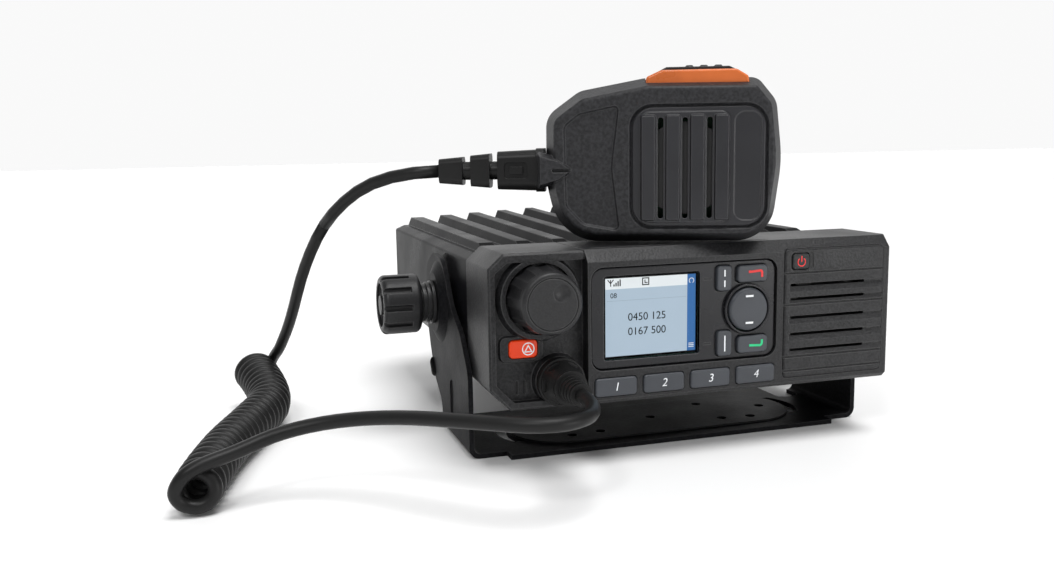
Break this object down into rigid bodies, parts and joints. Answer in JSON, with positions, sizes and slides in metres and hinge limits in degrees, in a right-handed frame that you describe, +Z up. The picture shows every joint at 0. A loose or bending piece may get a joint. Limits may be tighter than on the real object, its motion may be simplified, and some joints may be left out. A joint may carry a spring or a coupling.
{
  "type": "vehicle two-way radio with palm microphone",
  "caption": "Mobile two-way radio in a tilting U-bracket, with finned cast body, display panel, keys, volume knob, and a palm microphone on a curly cord.",
  "frame": {"origin": "centre of the bracket's bolt pattern, on the underside of its base", "axes": "+Z up off the base, the front panel faces -Y, +X to the right as the user faces the panel"},
  "size_m": [0.3183, 0.2687, 0.1546],
  "materials": {
    "bracket_paint": "black powder coat, fine texture",
    "rubber_pad": "matte black",
    "steel": "zinc plated",
    "black_steel": "black oxide, satin",
    "cast_black": "black coated die casting, satin",
    "housing_plastic": "fine spark texture",
    "frame_plastic": "semi gloss",
    "key_plastic": "dark grey, silky",
    "emergency_orange": "orange, semi gloss",
    "lens": "clear",
    "display": "lit display",
    "board_green": "circuit board",
    "shield_metal": "drawn sheet",
    "brass_contact": "nickel or gold over brass",
    "speaker_dark": "speaker frame",
    "knob_rubber": "matte grip",
    "mic_plastic": "leather-grain moulding",
    "mic_insert": "smooth satin",
    "trim_orange": "translucent orange",
    "cord_black": "soft PVC, satin"
  },
  "bodies": {
    "bracket": {"mounting_bracket": "bracket_paint", "left_friction_pad": "rubber_pad", "right_friction_pad": "rubber_pad", "arm_stop": "rubber_pad"},
    "radio": {"cast_body": "cast_black", "bottom_cover": "black_steel", "cover_screws": "steel", "main_board": "board_green", "radio_shield": "shield_metal", "power_amplifier": "shield_metal", "antenna_socket": "brass_contact", "power_inlet": "frame_plastic", "accessory_socket": "frame_plastic", "front_housing": "housing_plastic", "panel_gasket": "rubber_pad", "display_frame": "frame_plastic", "display_lens": "lens", "display_module": "display", "keypad_board": "board_green", "navigation_ring": "frame_plastic", "speaker_cap": "housing_plastic", "loudspeaker": "speaker_dark", "rotary_encoder": "steel", "control_board": "board_green", "microphone_jack": "frame_plastic", "mic_plug": "cord_black", "plug_boot": "cord_black", "cord_lower_lead": "cord_black", "cord_coil": "cord_black", "cord_upper_lead": "cord_black"},
    "left_clamp": {"left_clamp_stud": "steel", "left_clamp_washer": "black_steel", "left_clamp_knob": "knob_rubber"},
    "right_clamp": {"right_clamp_stud": "steel", "right_clamp_washer": "black_steel", "right_clamp_knob": "knob_rubber"},
    "volume_knob": {"volume_knob": "knob_rubber"},
    "emergency_key": {"emergency_key": "emergency_orange"},
    "power_key": {"power_key": "housing_plastic"},
    "end_key": {"end_key": "key_plastic"},
    "call_key": {"call_key": "key_plastic"},
    "upper_soft_key": {"upper_soft_key": "key_plastic"},
    "lower_soft_key": {"lower_soft_key": "key_plastic"},
    "navigation_rocker": {"navigation_rocker": "key_plastic"},
    "programmable_key_1": {"programmable_key_1": "key_plastic"},
    "programmable_key_2": {"programmable_key_2": "key_plastic"},
    "programmable_key_3": {"programmable_key_3": "key_plastic"},
    "programmable_key_4": {"programmable_key_4": "key_plastic"},
    "microphone": {"mic_front_shell": "mic_plastic", "mic_rear_shell": "mic_plastic", "mic_screws": "steel", "mic_hang_stud": "black_steel", "mic_grille": "mic_insert", "talk_key_surround": "trim_orange", "mic_speaker": "speaker_dark", "mic_board": "board_green", "mic_boot": "cord_black"},
    "talk_key": {"talk_key": "knob_rubber"}
  },
  "joints": [
    {"name": "tilt", "type": "hinge", "parent": "bracket", "child": "radio", "pos_m": [0, 0.026, 0.057], "axis": [1, 0, 0], "range_deg": [-10, 14]},
    {"name": "left_clamp_turn", "type": "hinge", "parent": "radio", "child": "left_clamp", "pos_m": [-0.1, 0.026, 0.057], "axis": [-1, 0, 0], "range_deg": [0, 360]},
    {"name": "right_clamp_turn", "type": "hinge", "parent": "radio", "child": "right_clamp", "pos_m": [0.1, 0.026, 0.057], "axis": [1, 0, 0], "range_deg": [0, 360]},
    {"name": "volume_turn", "type": "hinge", "parent": "radio", "child": "volume_knob", "pos_m": [-0.0665, -0.055, 0.0673], "axis": [0, -1, 0], "continuous": true},
    {"name": "emergency_press", "type": "slide", "parent": "radio", "child": "emergency_key", "axis": [0, 1, 0], "range_m": [0, 0.0008], "stiffness_N_per_m": 600, "springref_m": -0.0015},
    {"name": "power_press", "type": "slide", "parent": "radio", "child": "power_key", "axis": [0, 1, 0], "range_m": [0, 0.0006], "stiffness_N_per_m": 600, "springref_m": -0.0015},
    {"name": "end_press", "type": "slide", "parent": "radio", "child": "end_key", "axis": [0, 1, 0], "range_m": [0, 0.0006], "stiffness_N_per_m": 600, "springref_m": -0.0015},
    {"name": "call_press", "type": "slide", "parent": "radio", "child": "call_key", "axis": [0, 1, 0], "range_m": [0, 0.0006], "stiffness_N_per_m": 600, "springref_m": -0.0015},
    {"name": "upper_soft_press", "type": "slide", "parent": "radio", "child": "upper_soft_key", "axis": [0, 1, 0], "range_m": [0, 0.0006], "stiffness_N_per_m": 600, "springref_m": -0.0015},
    {"name": "lower_soft_press", "type": "slide", "parent": "radio", "child": "lower_soft_key", "axis": [0, 1, 0], "range_m": [0, 0.0006], "stiffness_N_per_m": 600, "springref_m": -0.0015},
    {"name": "navigation_rock", "type": "hinge", "parent": "radio", "child": "navigation_rocker", "pos_m": [0.0196, -0.0463, 0.0583], "axis": [1, 0, 0], "range_deg": [-3, 3], "stiffness_Nm_per_rad": 0.05},
    {"name": "programmable_press_1", "type": "slide", "parent": "radio", "child": "programmable_key_1", "axis": [0, 1, 0], "range_m": [0, 0.0006], "stiffness_N_per_m": 600, "springref_m": -0.0015},
    {"name": "programmable_press_2", "type": "slide", "parent": "radio", "child": "programmable_key_2", "axis": [0, 1, 0], "range_m": [0, 0.0006], "stiffness_N_per_m": 600, "springref_m": -0.0015},
    {"name": "programmable_press_3", "type": "slide", "parent": "radio", "child": "programmable_key_3", "axis": [0, 1, 0], "range_m": [0, 0.0006], "stiffness_N_per_m": 600, "springref_m": -0.0015},
    {"name": "programmable_press_4", "type": "slide", "parent": "radio", "child": "programmable_key_4", "axis": [0, 1, 0], "range_m": [0, 0.0006], "stiffness_N_per_m": 600, "springref_m": -0.0015},
    {"name": "microphone_lift", "type": "slide", "parent": "radio", "child": "microphone", "axis": [0, 0, 1], "range_m": [0, 0.06]},
    {"name": "talk_press", "type": "slide", "parent": "microphone", "child": "talk_key", "axis": [0, 0, -1], "range_m": [0, 0.0015], "stiffness_N_per_m": 900, "springref_m": -0.002}
  ]
}
